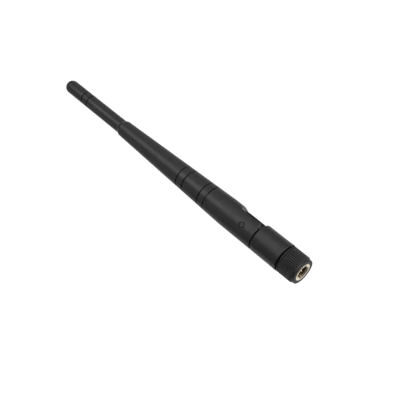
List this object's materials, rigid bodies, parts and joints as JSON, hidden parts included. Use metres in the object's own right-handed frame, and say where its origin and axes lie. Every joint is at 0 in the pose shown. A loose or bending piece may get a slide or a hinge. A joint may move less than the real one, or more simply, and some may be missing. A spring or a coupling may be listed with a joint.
{
  "type": "omnidirectional antenna",
  "caption": "Black folding whip antenna with a knurled threaded coaxial plug, a swivel base, a right-angle hinge and a tapered round radome with a slim tip.",
  "frame": {"origin": "centre of the coupling nut's front face, where the device's jack enters", "axes": "+Z along the antenna from the plug to the tip of the whip; Y along the hinge pins; the whip folds towards +X"},
  "size_m": [0.0132, 0.0132, 0.1595],
  "materials": {
    "casing_plastic": "satin black moulded plastic",
    "grip_plastic": "satin black moulded plastic",
    "gold_plating": "gold plated",
    "nut_plating": "pale gold plated",
    "brass": "bare brass",
    "copper": "bare copper wire",
    "tinned_copper": "tinned copper braid",
    "spring_steel": "spring steel wire",
    "pin_steel": "blackened steel",
    "ptfe": "natural white",
    "nylon": "black nylon",
    "silicone": "red silicone",
    "cable_jacket": "brown fluoropolymer",
    "heatshrink": "black heat-shrink",
    "foam": "grey foam"
  },
  "bodies": {
    "connector": {"connector_shell": "gold_plating", "contact_insulator": "ptfe", "centre_contact": "gold_plating", "nut_retaining_ring": "spring_steel", "swivel_snap_ring": "spring_steel", "sealing_gasket": "silicone", "swivel_washer": "nylon", "crimp_ferrule": "gold_plating", "coax_lower": "cable_jacket"},
    "coupling_nut": {"coupling_nut_insert": "nut_plating", "coupling_nut_grip": "grip_plastic"},
    "swivel_base": {"swivel_housing": "casing_plastic", "swivel_bush": "brass"},
    "whip": {"fork_housing": "casing_plastic", "hinge_pin_left": "pin_steel", "hinge_pin_right": "pin_steel", "radome": "casing_plastic", "coax_hinge_section": "cable_jacket", "coax_upper_jacket": "cable_jacket", "coax_upper_braid": "tinned_copper", "coax_upper_dielectric": "ptfe", "coax_upper_conductor": "copper", "ground_sleeve": "brass", "sleeve_end_washer": "brass", "feed_heatshrink": "heatshrink", "radiator_wire": "copper", "radiator_tube": "brass", "lower_spacer": "foam", "upper_spacer": "foam"}
  },
  "joints": [
    {"name": "nut_spin", "type": "hinge", "parent": "connector", "child": "coupling_nut", "pos_m": [0, 0, 0], "axis": [0, 0, 1], "continuous": true},
    {"name": "base_swivel", "type": "hinge", "parent": "connector", "child": "swivel_base", "pos_m": [0, 0, 0.0123], "axis": [0, 0, 1], "range_deg": [-180, 180]},
    {"name": "whip_fold", "type": "hinge", "parent": "swivel_base", "child": "whip", "pos_m": [0, 0, 0.0319], "axis": [0, 1, 0], "range_deg": [0, 90], "deforming": ["coax_hinge_section"]}
  ]
}
